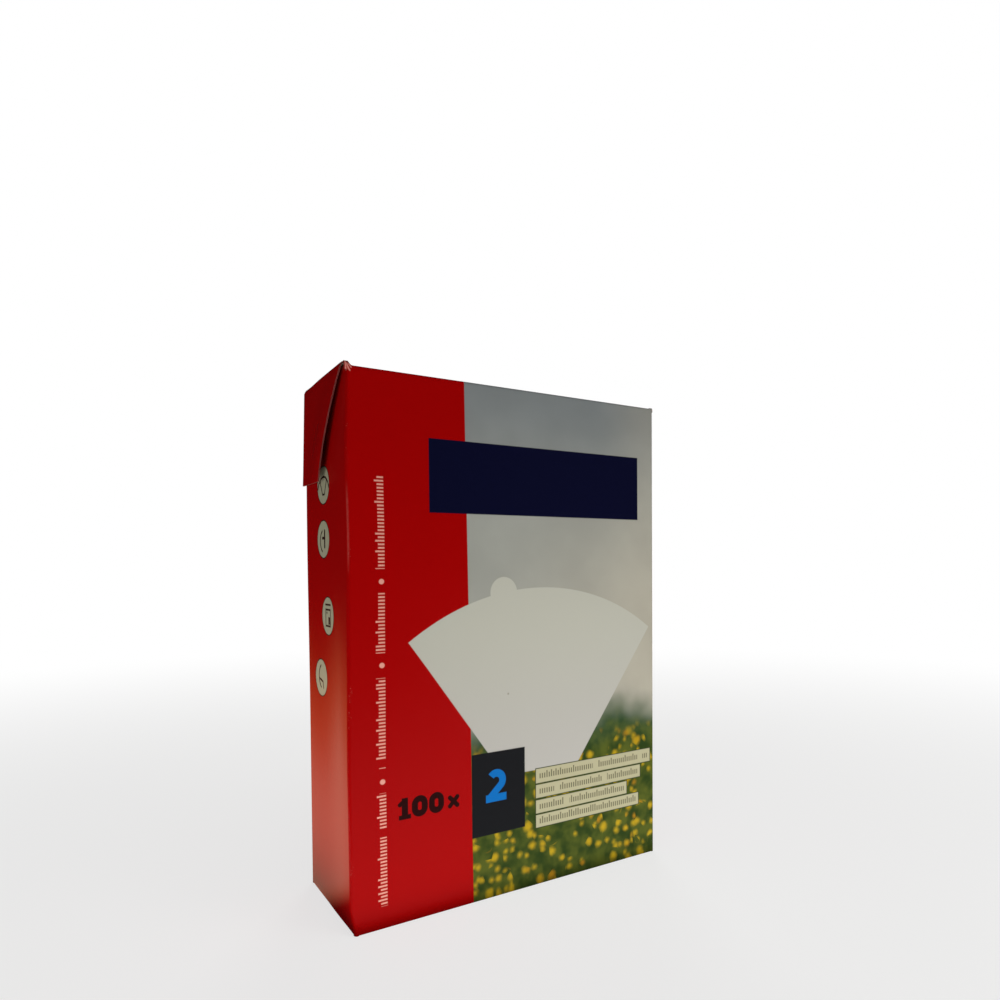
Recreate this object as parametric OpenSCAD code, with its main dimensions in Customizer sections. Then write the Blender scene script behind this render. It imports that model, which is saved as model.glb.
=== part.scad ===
// Folding carton of fan-shaped paper coffee filters, standing upright with its lid closed.
// The front panel faces -Y, the floor is z = 0, and the origin is under the middle of the tube.
// The filters lie on their sides in the tube, face to face, with their open mouths to the right.
// The carton is sized from what it holds: filters first, then play, then board, rounded up to whole steps.

/* [Filters] */
// Number of filters in the pack
filter_count = 100; // [80:10:150]
// Thickness of one flat filter, both plies together
filter_t = 0.36; // [0.24:0.02:0.6]
// Air between two filters
filter_gap = 0.05; // [0.02:0.01:0.1]
// Air between the two plies of one filter
ply_gap = 0.04; // [0.02:0.01:0.08]
// Radius of the arched mouth, about the point where the slanted sides would meet
mouth_r = 135; // [115:0.5:160]
// Distance from that point to the straight foot
foot_r = 34.2; // [28:0.2:50]
// Angle from the middle of the fan to each slanted side
fan_half_angle = 36; // [32:0.5:38]
// Width of the crimped seams along the foot and the lower slanted side
crimp_w = 4; // [2:0.5:8]
// Width of paper that the fold takes up along the upper slanted side
fold_edge_w = 0.4; // [0.2:0.1:1]
// Radius of the round pull tab on the mouth
tab_r = 8.3; // [5:0.1:11]
// How far the centre of the tab lies inside the mouth's edge
tab_inset = 0.6; // [0:0.1:3]
// Angle from the middle of the fan up to the tab
tab_angle = 10.5; // [0:0.5:20]

/* [Carton] */
// Thickness of the boxboard
board_t = 0.5; // [0.3:0.05:0.8]
// Inside radius of every fold in the board
fold_in_r = 0.4; // [0.2:0.05:0.8]
// Length of the flat ends with which a fold runs on into the panels beside it
fold_tail = 0.5; // [0.3:0.1:1]
// Depth to which glued faces are pressed into each other
glue_bite = 0.02; // [0.01:0.01:0.05]
// Play at the foot and at the mouth of the filters
width_play = 5.4; // [0.5:0.1:8]
// Play in front of the stack and behind it
depth_play = 0.5; // [0.2:0.1:3]
// Free height above the filters
head_room = 7.3; // [4:0.1:20]
// Step to which the outside width, depth and height are rounded up
cut_step = 0.1; // [0.1:0.1:1]
// Width of the lap of the back panel that is glued inside the right-hand panel
lap_w = 14; // [6:0.5:24]
// Height by which the lap's ends slant in towards its free edge
lap_slant = 5; // [1:0.5:10]
// How far the right-hand panel's raw edge stops short of the back
seam_set_back = 0.4; // [0.2:0.1:1]
// Distance between the free edges of the two dust flaps at the bottom
dust_flap_gap = 43; // [4:1:60]
// How far the raw edge of the inner bottom flap stops short of the back
inner_flap_set_back = 9; // [2:0.5:20]
// How far the raw edge of the outer bottom flap stops short of the front
outer_flap_set_back = 1.6; // [1.4:0.1:6]
// How far the sides of each bottom flap slant in towards its free edge
flap_slant = 2.5; // [0.5:0.5:8]
// Gap between a flap's end and the corner beside it
flap_relief = 1.2; // [1:0.1:3]
// Height by which the upright folds stop short of the creases at both ends
corner_relief = 0.6; // [0.3:0.1:2]

/* [Lid] */
// Height of the rear apron and of both ears
apron_h = 31; // [16:0.5:60]
// Width of each ear along its lower edge
ear_foot_w = 20.5; // [14:0.5:30]
// Distance from the hinge crease to the upper front corner of each ear
ear_relief = 0.8; // [0.4:0.1:4]
// Width of the apron's tabs, which are glued inside the ears
glue_tab_w = 11; // [5:0.5:13]
// Gap between a glue tab's ends and the lid's rear fold above it and the apron's lower edge
glue_tab_relief = 1.5; // [0.5:0.5:5]
// Height by which a glue tab's ends slant in towards its free edge
glue_tab_slant = 4; // [1:0.5:6]
// How far the raw rear edge of each ear stops short of the apron's face
ear_set_back = 0.4; // [0.2:0.1:1]
// Gap between the lid's inner faces and the tube's outer faces
lid_clearance = 0.15; // [0.1:0.05:1]
// Gap at the hinge crease between the front fold and the lid's top panel
crease_gap = 0.05; // [0.02:0.01:0.2]

/* [Hidden] */
$fn = 96;

print_red = [0.58, 0.03, 0.03];
paper_white = [0.93, 0.92, 0.87];

// An outside size, rounded up to the next whole step
function cut_size(size) = cut_step * ceil(size / cut_step);

// Outside radius of every fold
fold_out_r = fold_in_r + board_t;

// The filters' reach from foot to mouth or tab, and their height lying on one side
tab_reach = (mouth_r - tab_inset) * cos(tab_angle) + tab_r;
fan_reach = max(mouth_r, tab_reach) - foot_r;
fan_chord = 2 * mouth_r * sin(fan_half_angle);
filter_pitch = filter_t + filter_gap;
stack_t = filter_count * filter_pitch - filter_gap;

// The bottom is three layers where a dust flap lies on the two glued flaps
floor_t = 3 * board_t;
tube_w = cut_size(fan_reach + 2 * width_play + 3 * board_t);
tube_d = cut_size(stack_t + 2 * depth_play + 2 * board_t);
carton_h = cut_size(floor_t + fan_chord + head_room + board_t);
tube_low = 2 * board_t + fold_out_r + corner_relief;
tube_top = carton_h - fold_out_r - corner_relief;

// The hinge line of the lid, where the front fold meets the top panel's outer face
hinge_y = -tube_d / 2 + fold_out_r;
lid_start_y = hinge_y + crease_gap;
apron_in_y = tube_d / 2 + lid_clearance;
apron_out_y = apron_in_y + board_t;
apron_half_w = tube_w / 2 + lid_clearance + board_t;
lid_half_w = apron_half_w + board_t;
// Where the centres of the lid's rear fold and of its side folds lie
lid_fold_y = apron_out_y - fold_out_r;
lid_fold_z = carton_h - fold_out_r;
lid_foot_z = carton_h - apron_h;

// A corner of radius r about the origin, in the first quadrant, with sides that run back by a tail
module corner_2d(r, tail) {
    circle(r = r);
    translate([-tail, -tail]) square([tail, tail + r]);
    translate([-tail, -tail]) square([tail + r, tail]);
}

// A right-angled fold of the board about the origin, with a flat tail at each end
module fold_2d() {
    difference() {
        corner_2d(fold_out_r, fold_tail);
        corner_2d(fold_in_r, 2 * fold_tail);
    }
}

// A fold centred at p and turned by a
module fold_at(p, a) {
    translate(p) rotate(a) fold_2d();
}

// A flat sheet of thickness t whose outline is given in Y and Z and whose inner face lies at x
module upright_sheet(x, t, outline) {
    translate([x, 0, 0]) rotate([90, 0, 90]) linear_extrude(t) polygon(outline);
}

// A section given in Y and Z, drawn out over a width about the middle plane
module drawn_across(width) {
    rotate([90, 0, 90]) translate([0, 0, -width / 2]) linear_extrude(width) children();
}

// Section of the tube seen from above: four panels and four folds, the last of them for the lap
module tube_section() {
    flat_w = tube_w - 2 * fold_out_r;
    flat_d = tube_d - 2 * fold_out_r;
    left = -tube_w / 2 + fold_out_r;
    right = tube_w / 2 - fold_out_r;
    front = -tube_d / 2 + fold_out_r;
    back = tube_d / 2 - fold_out_r;
    translate([left, -tube_d / 2]) square([flat_w, board_t]);
    translate([left, tube_d / 2 - board_t]) square([flat_w - board_t, board_t]);
    translate([-tube_w / 2, front]) square([board_t, flat_d]);
    // The right-hand panel runs on to its raw edge, past the fold of the lap inside it
    translate([tube_w / 2 - board_t, front]) square([board_t, tube_d - fold_out_r - seam_set_back]);
    fold_at([left, front], 180);
    fold_at([right, front], 270);
    fold_at([left, back], 90);
    fold_at([right - board_t, back], 0);
}

// The lap, glued to the inner face of the right-hand panel
module glued_lap() {
    back = tube_d / 2 - fold_out_r;
    slant_y = back - fold_tail;
    upright_sheet(tube_w / 2 - 2 * board_t, board_t + glue_bite, [
        [back, tube_low],
        [back, tube_top],
        [slant_y, tube_top],
        [back - lap_w, tube_top - lap_slant],
        [back - lap_w, tube_low + lap_slant],
        [slant_y, tube_low]
    ]);
}

// A bottom flap with its fold, hanging from a panel whose outer face is the plane y = 0.
// Its lower face lies at the given level, and is pressed by bite into the flap under it.
module bottom_flap(width, level, length, bite) {
    fold_z = level + fold_out_r;
    slant_y = fold_out_r + fold_tail;
    edge_half_w = width / 2 - flap_slant;
    drawn_across(width) {
        translate([0, fold_z]) square([board_t, tube_low + fold_tail - fold_z]);
        fold_at([fold_out_r, fold_z], 180);
    }
    translate([0, 0, level - bite])
        linear_extrude(board_t + bite)
            polygon([
                [-width / 2, fold_out_r],
                [width / 2, fold_out_r],
                [width / 2, slant_y],
                [edge_half_w, length],
                [-edge_half_w, length],
                [-width / 2, slant_y]
            ]);
}

// The glued bottom: one outer flap, one inner flap on it, and a dust flap from each side
module glued_bottom() {
    long_w = tube_w - 2 * flap_relief;
    short_w = tube_d - 2 * flap_relief;
    dust_flap_l = (tube_w - dust_flap_gap) / 2;
    translate([0, tube_d / 2, 0]) rotate(180) bottom_flap(long_w, 0, tube_d - outer_flap_set_back, 0);
    translate([0, -tube_d / 2, 0]) bottom_flap(long_w, board_t, tube_d - inner_flap_set_back, glue_bite);
    translate([-tube_w / 2, 0, 0]) rotate(-90) bottom_flap(short_w, 2 * board_t, dust_flap_l, glue_bite);
    translate([tube_w / 2, 0, 0]) rotate(90) bottom_flap(short_w, 2 * board_t, dust_flap_l, glue_bite);
}

// The upper end of the front panel and its fold, which ends at the crease where the lid begins
module front_top_fold() {
    drawn_across(tube_w - 2 * fold_out_r) {
        translate([-tube_d / 2, tube_top - fold_tail]) square([board_t, fold_tail + corner_relief]);
        intersection() {
            fold_at([hinge_y, tube_top + corner_relief], 90);
            translate([-tube_d / 2, tube_top]) square([fold_out_r, carton_h - tube_top]);
        }
    }
}

module carton() {
    color(print_red) {
        translate([0, 0, tube_low]) linear_extrude(tube_top - tube_low) tube_section();
        glued_lap();
        glued_bottom();
        front_top_fold();
    }
}

// The flat top panel, from the hinge crease to the folds around it
module top_panel() {
    flat_half_w = lid_half_w - fold_out_r;
    translate([-flat_half_w, lid_start_y, carton_h - board_t])
        cube([2 * flat_half_w, lid_fold_y - lid_start_y, board_t]);
}

// The rear fold and the apron that hangs from it outside the back panel
module apron() {
    drawn_across(2 * (apron_half_w - fold_out_r)) {
        fold_at([lid_fold_y, lid_fold_z], 0);
        translate([apron_in_y, lid_foot_z]) square([board_t, apron_h - fold_out_r]);
    }
}

// One ear on the right: its fold at the top panel and the slanted sheet that hangs from it
module ear() {
    front_y = lid_start_y + ear_relief;
    rear_y = apron_out_y - ear_set_back;
    translate([0, lid_fold_y, 0])
        rotate([90, 0, 0])
            linear_extrude(lid_fold_y - front_y) fold_at([lid_half_w - fold_out_r, lid_fold_z], 0);
    upright_sheet(apron_half_w, board_t, [
        [front_y, lid_fold_z],
        [rear_y, lid_fold_z],
        [rear_y, lid_foot_z],
        [rear_y - ear_foot_w, lid_foot_z],
        [front_y, lid_fold_z - fold_tail]
    ]);
}

// One tab of the apron on the right, folded forward and glued inside the ear
module glue_tab() {
    low = lid_foot_z + glue_tab_relief;
    high = lid_fold_z - glue_tab_relief;
    translate([0, 0, low])
        linear_extrude(high - low) fold_at([apron_half_w - fold_out_r, lid_fold_y], 0);
    upright_sheet(apron_half_w - board_t, board_t + glue_bite, [
        [lid_fold_y, low],
        [lid_fold_y, high],
        [lid_fold_y - fold_tail, high],
        [lid_fold_y - glue_tab_w, high - glue_tab_slant],
        [lid_fold_y - glue_tab_w, low + glue_tab_slant],
        [lid_fold_y - fold_tail, low]
    ]);
}

module lid() {
    color(print_red) {
        top_panel();
        apron();
        for (side = [0, 1])
            mirror([side, 0, 0]) {
                ear();
                glue_tab();
            }
    }
}

// Outline of a filter about the point where its slanted sides would meet, opening along +X
module fan_2d() {
    foot_half = foot_r * tan(fan_half_angle);
    mouth_half = mouth_r * tan(fan_half_angle);
    intersection() {
        circle(r = mouth_r);
        polygon([
            [foot_r, -foot_half],
            [mouth_r, -mouth_half],
            [mouth_r, mouth_half],
            [foot_r, foot_half]
        ]);
    }
    translate((mouth_r - tab_inset) * [cos(tab_angle), sin(tab_angle)]) circle(r = tab_r);
}

// Outline of the pocket between the plies, inside the crimped seams and open at the mouth
module pocket_2d() {
    floor_x = foot_r + crimp_w;
    open_x = mouth_r + tab_r;
    slope = tan(fan_half_angle);
    seam_dy = crimp_w / cos(fan_half_angle);
    fold_dy = fold_edge_w / cos(fan_half_angle);
    polygon([
        [floor_x, seam_dy - floor_x * slope],
        [open_x, seam_dy - open_x * slope],
        [open_x, open_x * slope - fold_dy],
        [floor_x, floor_x * slope - fold_dy]
    ]);
}

// One filter lying on its crimped side, its two plies joined at the seams and the fold
module filter() {
    rotate([90, 0, 0])
        difference() {
            linear_extrude(filter_t) fan_2d();
            translate([0, 0, (filter_t - ply_gap) / 2]) linear_extrude(ply_gap) pocket_2d();
        }
}

// The stack, standing on the dust flaps from the front panel to the back
module filters() {
    apex_x = -tube_w / 2 + board_t + width_play - foot_r;
    middle_z = floor_t + fan_chord / 2;
    first_y = -tube_d / 2 + board_t + depth_play + filter_t;
    color(paper_white)
        for (i = [0 : filter_count - 1])
            translate([apex_x, first_y + i * filter_pitch, middle_z]) filter();
}

carton();
lid();
filters();
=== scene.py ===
"""Printed folding carton of paper coffee filters: its looks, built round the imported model."""

import math
import random
from collections import namedtuple
from functools import reduce

import bmesh
import bpy
from mathutils import Matrix, Vector


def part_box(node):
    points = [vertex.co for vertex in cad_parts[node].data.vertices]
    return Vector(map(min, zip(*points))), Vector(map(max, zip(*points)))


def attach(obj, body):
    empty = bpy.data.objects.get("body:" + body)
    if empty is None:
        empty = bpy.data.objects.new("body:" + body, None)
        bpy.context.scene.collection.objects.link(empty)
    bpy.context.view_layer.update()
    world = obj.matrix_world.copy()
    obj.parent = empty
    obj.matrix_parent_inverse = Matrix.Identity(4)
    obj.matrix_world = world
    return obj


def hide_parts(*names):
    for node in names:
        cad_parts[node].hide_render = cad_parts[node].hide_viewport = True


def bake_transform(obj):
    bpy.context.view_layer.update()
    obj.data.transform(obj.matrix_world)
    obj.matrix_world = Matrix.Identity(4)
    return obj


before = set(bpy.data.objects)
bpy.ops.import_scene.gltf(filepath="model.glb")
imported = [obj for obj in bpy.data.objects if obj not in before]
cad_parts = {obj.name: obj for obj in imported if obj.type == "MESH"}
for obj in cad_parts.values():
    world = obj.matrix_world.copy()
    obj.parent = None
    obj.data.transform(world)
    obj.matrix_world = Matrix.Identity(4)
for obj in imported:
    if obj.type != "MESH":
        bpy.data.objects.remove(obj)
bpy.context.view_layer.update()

# Meshes are shaped in millimetres and scaled to metres at the end.
MM = 0.001
QUARTER = math.pi / 2

# The board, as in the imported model
BOARD_T = 0.5
FOLD_R = 0.9
FOLD_ARC = FOLD_R * QUARTER
FOLD_STEPS = 5
CREASE_GAP = 0.05

# The carton's tube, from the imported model's boxes
carton_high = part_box("carton")[1] / MM
lid_low, lid_high = (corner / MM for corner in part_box("lid"))
filters_low, filters_high = (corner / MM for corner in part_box("filters"))
HALF_W = carton_high.x
HALF_D = carton_high.y
HEIGHT = lid_high.z
CREASE_STRIP_H = 1.5
TUBE_TOP = HEIGHT - CREASE_STRIP_H
HINGE_Y = -HALF_D + FOLD_R
LAP_W = 14.0
LAP_SLANT = 5.0
SEAM_SET_BACK = 0.4

# The glued bottom
FLAP_RELIEF = 1.2
FLAP_SLANT = 2.5
FLAP_ROOT_Z = 2.0
CORNER_LOW_Z = 0.05
CORNER_HALF_ARC = 1.0
OUTER_FLAP_SET_BACK = 1.6
INNER_FLAP_SET_BACK = 9.0
DUST_FLAP_GAP = 43.0

# The lid
LID_HALF_W = lid_high.x
APRON_HALF_W = LID_HALF_W - BOARD_T
APRON_OUT_Y = lid_high.y
LID_FOOT_Z = lid_low.z
EAR_FOOT_W = 20.5
EAR_RELIEF = 0.8
EAR_SET_BACK = 0.4
GLUE_TAB_W = 11.0
GLUE_TAB_RELIEF = 1.5
GLUE_TAB_SLANT = 4.0

# One unit of the sheet's UV map, and the soft edge of a printed shape
UV_UNIT = 100.0
PRINT_EDGE = 0.22

# Edges sharper than this are shaded as edges
SHARP_DEGREES = 40

# Cuts that let a sheet bend: their widest spacing, how near a corner a cut goes through it, and the
# digits to which they are told apart. Corners nearer than the weld gap become one.
CUT_PITCH = 6.0
CUT_SNAP = 0.001
CUT_DIGITS = 4
WELD_GAP = 0.01

# A flat sheet: its outline, the function that folds it, and its place in the piece's list of prints,
# or a function that gives that place for a length along the blank
Sheet = namedtuple("Sheet", "outline place surface", defaults=(0,))


def parted(start, end, count):
    """Places that part a stretch into equal lengths, with both its ends."""
    return [start + (end - start) * i / count for i in range(count + 1)]


def spaced(start, end, pitch=CUT_PITCH):
    """Evenly spaced places from start to end, at most one pitch apart."""
    return parted(start, end, max(1, math.ceil(abs(end - start) / pitch)))


def fold_cuts(start, sign=1):
    """Places of the cuts that round a fold which starts at the given length."""
    return parted(start, start + sign * FOLD_ARC, FOLD_STEPS)


def round_fold(length, crisp=0.0):
    """How far a sheet runs on, and how far it has turned in, a given length past a fold's start."""
    if length <= 0:
        return length, 0.0
    angle = min(length / FOLD_R, QUARTER)
    straight = length - FOLD_R * angle
    power = 1 - crisp
    return FOLD_R * math.sin(angle) ** power, FOLD_R * (1 - math.cos(angle) ** power) + straight


def ramp(value):
    """Straight rise from 0 to 1."""
    return min(max(value, 0.0), 1.0)


def smooth(value):
    """Smooth step from 0 to 1."""
    value = ramp(value)
    return value * value * (3 - 2 * value)


# Straight runs of the wrapped blank, from the front's middle to its right end and to its left end
RIGHT_RUNS = (HALF_W - FOLD_R, 2 * HALF_D - FOLD_R - SEAM_SET_BACK)
LEFT_RUNS = (
    HALF_W - FOLD_R,
    2 * (HALF_D - FOLD_R),
    2 * (HALF_W - FOLD_R) - BOARD_T,
    LAP_W,
)


def wrap(length):
    """Outer point, direction along and direction inwards, at a length along the wrapped blank."""
    sign = 1 if length >= 0 else -1
    point = Vector((0, -HALF_D))
    along = Vector((sign, 0))
    inwards = Vector((0, 1))
    left = abs(length)
    for run in RIGHT_RUNS if sign > 0 else LEFT_RUNS:
        step = min(left, run)
        point = point + along * step
        left -= step
        if left <= 0:
            break
        angle = min(left / FOLD_R, QUARTER)
        point = point + FOLD_R * (along * math.sin(angle) + inwards * (1 - math.cos(angle)))
        along, inwards = (
            along * math.cos(angle) + inwards * math.sin(angle),
            inwards * math.cos(angle) - along * math.sin(angle),
        )
        left -= FOLD_R * angle
        if left <= 0:
            break
    return point, along, inwards


# Lengths along the blank at which each fold starts, counted outwards from the front's middle
FRONT_END = HALF_W - FOLD_R
RIGHT_START = FRONT_END + FOLD_ARC
RIGHT_END = RIGHT_START + RIGHT_RUNS[1]
LEFT_START = -RIGHT_START
LEFT_END = LEFT_START - LEFT_RUNS[1]
BACK_START = LEFT_END - FOLD_ARC
BACK_END = BACK_START - LEFT_RUNS[2]
LAP_START = BACK_END - FOLD_ARC
LAP_END = LAP_START - LAP_W

# Places in the list of surfaces of the carton's outer face
FRONT_SURFACE, SIDE_SURFACE, PLAIN_SURFACE = range(3)


def carton_surface(length):
    """Which print the outer face carries at a length along the blank."""
    if LEFT_START < length < RIGHT_START + PICTURE_WRAP:
        return FRONT_SURFACE
    if LEFT_END < length < LEFT_START:
        return SIDE_SURFACE
    return PLAIN_SURFACE


# The bottom folds as they really stand: how crisp they are, and how far in a flap sinks to the floor
BOTTOM_CRISP = 0.55
FLAP_SETTLE = 6.0

# The left panel's front corner, which is pushed up into the lid's raised corner: width and height
UPPER_CORNER_W = 9.0
UPPER_CORNER_Z = 168.35

# Outward bow of the left panel's front and rear folds, as heights and distances, how far it reaches
# across the front and across the left panel, and how far the big panels bulge
FRONT_BOW = ((0, -0.4), (8, 0.8), (50, 1.0), (82, 0.66), (117, 0.35), (140, 0.7), (158, 0.3), (167, 0))
REAR_BOW = ((0, 0.3), (60, 0.35), (120, 0.6), (150, 0.5), (167, 0))
BOW_REACH_FRONT = 26.0
BOW_REACH_SIDE = 20.0
PANEL_BULGE = 0.3


def fold_bow(table, z):
    """Outward bow of a left fold at a height."""
    for (low, low_bow), (high, high_bow) in zip(table, table[1:]):
        if z <= high:
            return low_bow + (high_bow - low_bow) * smooth((z - low) / (high - low))
    return 0.0


def settle(point):
    """The tube as it really stands: the left folds bow out, and the big panels bulge a little."""
    x, y, z = point
    left = smooth(1 - (x + HALF_W) / BOW_REACH_FRONT)
    x -= fold_bow(FRONT_BOW, z) * left * smooth(1 - (y + HALF_D) / BOW_REACH_SIDE)
    x -= fold_bow(REAR_BOW, z) * left * smooth(1 - (HALF_D - y) / BOW_REACH_SIDE)
    middle = math.cos(QUARTER * min(abs(point.x) / HALF_W, 1)) * math.sin(math.pi * smooth(z / HEIGHT))
    if abs(point.y) > HALF_D - FOLD_R:
        y += math.copysign(PANEL_BULGE * middle, point.y)
    return Vector((x, y, z))


def tube_place(level):
    """Folding of the tube, with a flap that turns in below its fold at the given level."""

    def place(length, z):
        point, _, inwards = wrap(length)
        run, turned = round_fold(level + FOLD_R - z, BOTTOM_CRISP)
        flat = point + inwards * turned
        height = level + FOLD_R - run
        sunk = smooth((FLAP_ROOT_Z - height) / (FLAP_ROOT_Z - level))
        drop = level * sunk * smooth(1 - turned / FLAP_SETTLE)
        return settle(Vector((flat.x, flat.y, height - drop)))

    return place


def stand(length, z):
    """Folding of the tube where no flap hangs from it."""
    point, _, _ = wrap(length)
    return settle(Vector((point.x, point.y, z)))


def flap_outline(middle, half_w, level, reach):
    """Blank of a bottom flap: from its root down to its slanted free edge."""
    fold_z = level + FOLD_R
    free_z = fold_z - (reach - FOLD_R + FOLD_ARC)
    slant_z = fold_z - FOLD_ARC
    return [
        (middle - half_w, FLAP_ROOT_Z),
        (middle - half_w, slant_z),
        (middle - half_w + FLAP_SLANT, free_z),
        (middle + half_w - FLAP_SLANT, free_z),
        (middle + half_w, slant_z),
        (middle + half_w, FLAP_ROOT_Z),
    ]


def box_outline(u0, u1, v0, v1):
    """Corners of a rectangle, anticlockwise."""
    return [(u0, v0), (u1, v0), (u1, v1), (u0, v1)]


def mesh_from(bm, name):
    """A mesh of the given name from a bmesh, which is freed."""
    mesh = bpy.data.meshes.new(name)
    bm.to_mesh(mesh)
    bm.free()
    return mesh


def add_object(name, data):
    """An object of the given name in the scene."""
    thing = bpy.data.objects.new(name, data)
    bpy.context.scene.collection.objects.link(thing)
    return thing


def folded_mesh(sheet, cuts_u, cuts_v):
    """A flat sheet, cut at the given places, given its UV map and its print, and folded."""
    flat = bmesh.new()
    sheet_uv = flat.loops.layers.uv.new("sheet")
    flat.faces.new([flat.verts.new((u, v, 0)) for u, v in sheet.outline])
    for cuts, normal in ((cuts_u, Vector((1, 0, 0))), (cuts_v, Vector((0, 1, 0)))):
        for cut in sorted(set(round(place, CUT_DIGITS) for place in cuts)):
            everything = flat.verts[:] + flat.edges[:] + flat.faces[:]
            bmesh.ops.bisect_plane(
                flat, geom=everything, dist=CUT_SNAP, plane_co=normal * cut, plane_no=normal
            )
    for face in flat.faces:
        length = face.calc_center_median().x
        face.material_index = sheet.surface(length) if callable(sheet.surface) else sheet.surface
        for loop in face.loops:
            loop[sheet_uv].uv = loop.vert.co.xy / UV_UNIT
    for vert in flat.verts:
        vert.co = sheet.place(vert.co.x, vert.co.y)
    return mesh_from(flat, "folded_sheet")


def board_piece(name, sheets, cuts_u, cuts_v, prints):
    """One board piece: its sheets are folded, welded, given their thickness and marked as worn."""
    whole = bmesh.new()
    whole.loops.layers.uv.new("sheet")
    for sheet in sheets:
        folded = folded_mesh(sheet, cuts_u, cuts_v)
        whole.from_mesh(folded)
        bpy.data.meshes.remove(folded)
    bmesh.ops.remove_doubles(whole, verts=whole.verts[:], dist=WELD_GAP)
    piece = add_object(name, mesh_from(whole, name))
    for surface in [*prints, bare_board, cut_board]:
        piece.data.materials.append(surface)
    solidify = piece.modifiers.new("thickness", "SOLIDIFY")
    solidify.thickness = BOARD_T
    solidify.offset = -1
    solidify.use_even_offset = True
    solidify.material_offset = len(prints)
    solidify.material_offset_rim = len(prints) + 1
    graph = bpy.context.evaluated_depsgraph_get()
    mesh = bpy.data.meshes.new_from_object(piece.evaluated_get(graph))
    piece.modifiers.clear()
    piece.data = mesh
    worn = mesh.attributes.new("worn", "FLOAT", "POINT")
    for vert in mesh.vertices:
        worn.data[vert.index].value = fold_wear_at(vert.co)
    mesh.transform(Matrix.Scale(MM, 4))
    mesh.shade_smooth()
    mesh.set_sharp_from_angle(angle=math.radians(SHARP_DEGREES))
    return piece


# Wear of the folds: reach in millimetres and strength
FOLD_WEAR_REACH = 1.5
FOLD_WEAR = 0.4
CORNER_WEAR_REACH = 7.0
CORNER_WEAR = 0.6


def fold_wear_at(point):
    """How worn the board is at a point: most at the corners, then along the folds."""
    gaps = sorted((HALF_W - abs(point.x), HALF_D - abs(point.y), min(point.z, HEIGHT - point.z)))
    fold_gap = max(gaps[0], 0.0) + max(gaps[1], 0.0)
    fold = FOLD_WEAR * smooth(1 - fold_gap / FOLD_WEAR_REACH)
    corner = CORNER_WEAR * smooth(1 - (fold_gap + max(gaps[2], 0.0)) / CORNER_WEAR_REACH)
    return max(fold, corner * smooth(1 - fold_gap / (2 * FOLD_WEAR_REACH)))


# The colour sockets of a Mix node, by place: two inputs and the output
MIX_BELOW, MIX_ABOVE, MIX_COLOR = 6, 7, 2


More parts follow.
